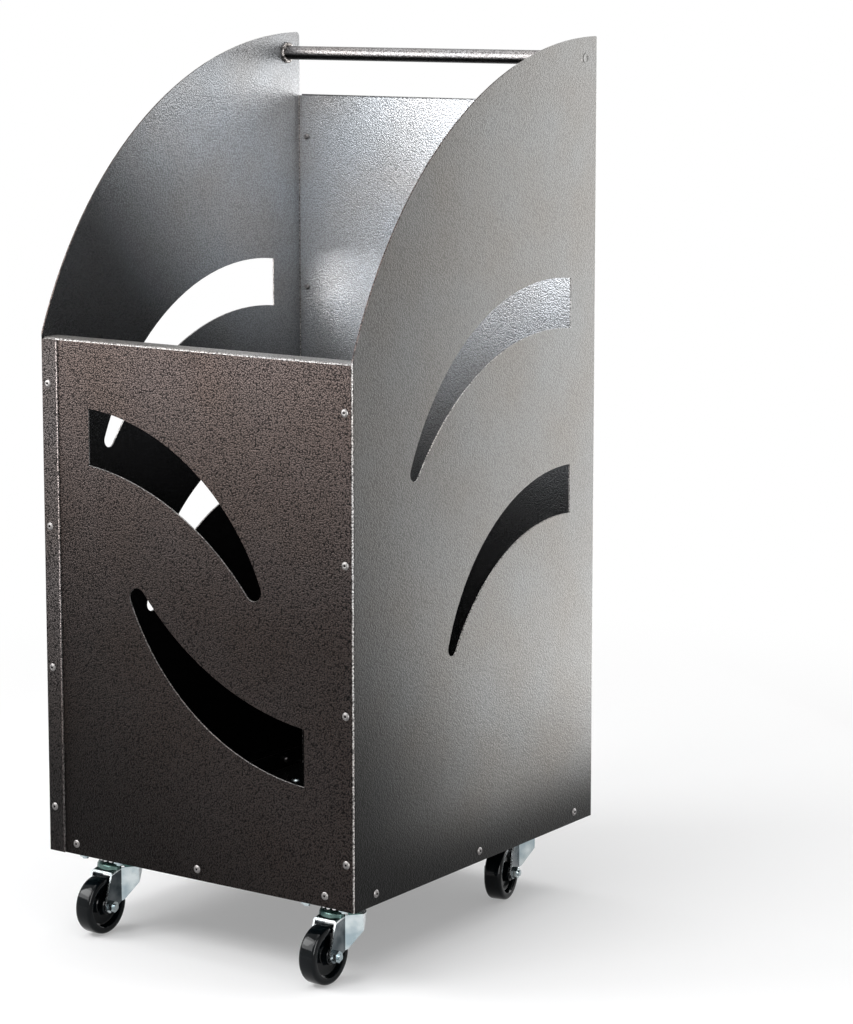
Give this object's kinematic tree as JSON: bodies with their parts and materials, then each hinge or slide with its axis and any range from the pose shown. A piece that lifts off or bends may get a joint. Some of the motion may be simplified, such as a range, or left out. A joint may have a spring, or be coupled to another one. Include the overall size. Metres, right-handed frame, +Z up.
{
  "type": "log cart",
  "caption": "Tall open-topped sheet-steel fireside log cart with a low front, quarter-round sides with crescent cut-outs, a round bar handle and swivel casters.",
  "frame": {"origin": "on the floor, below the middle of the cart's box", "axes": "+Z up, +Y towards the back panel and the handle, +X to the right as seen from the front"},
  "size_m": [0.3686, 0.4168, 0.859],
  "materials": {
    "lacquer": "brown-grey hammertone lacquer, glossy, speckled",
    "rivet": "plain drawn heads, dull",
    "zinc": "bright zinc plating with a bluish tint",
    "wheel": "glossy black moulding",
    "bearing": "polished steel balls"
  },
  "bodies": {
    "cabinet": {"left_side_panel": "lacquer", "right_side_panel": "lacquer", "front_panel": "lacquer", "back_panel": "lacquer", "base_tray": "lacquer", "handle_bar": "lacquer", "handle_welds": "lacquer", "front_rivets": "rivet", "left_rivets": "rivet", "right_rivets": "rivet", "back_rivets": "rivet", "caster_screws": "zinc", "caster_nuts": "zinc", "front_left_plate": "zinc", "front_left_kingpin": "zinc", "front_left_race_cap": "zinc", "front_right_plate": "zinc", "front_right_kingpin": "zinc", "front_right_race_cap": "zinc", "rear_left_plate": "zinc", "rear_left_kingpin": "zinc", "rear_left_race_cap": "zinc", "rear_right_plate": "zinc", "rear_right_kingpin": "zinc", "rear_right_race_cap": "zinc"},
    "front_left_swivel_fork": {"front_left_balls": "bearing", "front_left_fork": "zinc", "front_left_bush": "zinc", "front_left_axle_bolt": "zinc", "front_left_axle_nut": "zinc"},
    "front_left_rolling_wheel": {"front_left_wheel": "wheel"},
    "front_right_swivel_fork": {"front_right_balls": "bearing", "front_right_fork": "zinc", "front_right_bush": "zinc", "front_right_axle_bolt": "zinc", "front_right_axle_nut": "zinc"},
    "front_right_rolling_wheel": {"front_right_wheel": "wheel"},
    "rear_left_swivel_fork": {"rear_left_balls": "bearing", "rear_left_fork": "zinc", "rear_left_bush": "zinc", "rear_left_axle_bolt": "zinc", "rear_left_axle_nut": "zinc"},
    "rear_left_rolling_wheel": {"rear_left_wheel": "wheel"},
    "rear_right_swivel_fork": {"rear_right_balls": "bearing", "rear_right_fork": "zinc", "rear_right_bush": "zinc", "rear_right_axle_bolt": "zinc", "rear_right_axle_nut": "zinc"},
    "rear_right_rolling_wheel": {"rear_right_wheel": "wheel"}
  },
  "joints": [
    {"name": "front_left_swivel", "type": "hinge", "parent": "cabinet", "child": "front_left_swivel_fork", "pos_m": [-0.1345, -0.1554, 0.076], "axis": [0, 0, 1], "continuous": true},
    {"name": "front_left_roll", "type": "hinge", "parent": "front_left_swivel_fork", "child": "front_left_rolling_wheel", "pos_m": [-0.1345, -0.1804, 0.028], "axis": [1, 0, 0], "continuous": true},
    {"name": "front_right_swivel", "type": "hinge", "parent": "cabinet", "child": "front_right_swivel_fork", "pos_m": [0.1345, -0.1554, 0.076], "axis": [0, 0, 1], "continuous": true},
    {"name": "front_right_roll", "type": "hinge", "parent": "front_right_swivel_fork", "child": "front_right_rolling_wheel", "pos_m": [0.1345, -0.1804, 0.028], "axis": [1, 0, 0], "continuous": true},
    {"name": "rear_left_swivel", "type": "hinge", "parent": "cabinet", "child": "rear_left_swivel_fork", "pos_m": [-0.117, 0.1581, 0.076], "axis": [0, 0, 1], "continuous": true},
    {"name": "rear_left_roll", "type": "hinge", "parent": "rear_left_swivel_fork", "child": "rear_left_rolling_wheel", "pos_m": [-0.117, 0.1331, 0.028], "axis": [1, 0, 0], "continuous": true},
    {"name": "rear_right_swivel", "type": "hinge", "parent": "cabinet", "child": "rear_right_swivel_fork", "pos_m": [0.117, 0.1581, 0.076], "axis": [0, 0, 1], "continuous": true},
    {"name": "rear_right_roll", "type": "hinge", "parent": "rear_right_swivel_fork", "child": "rear_right_rolling_wheel", "pos_m": [0.12262, 0.13374, 0.028], "axis": [0.9744, 0.225, 0], "continuous": true}
  ]
}
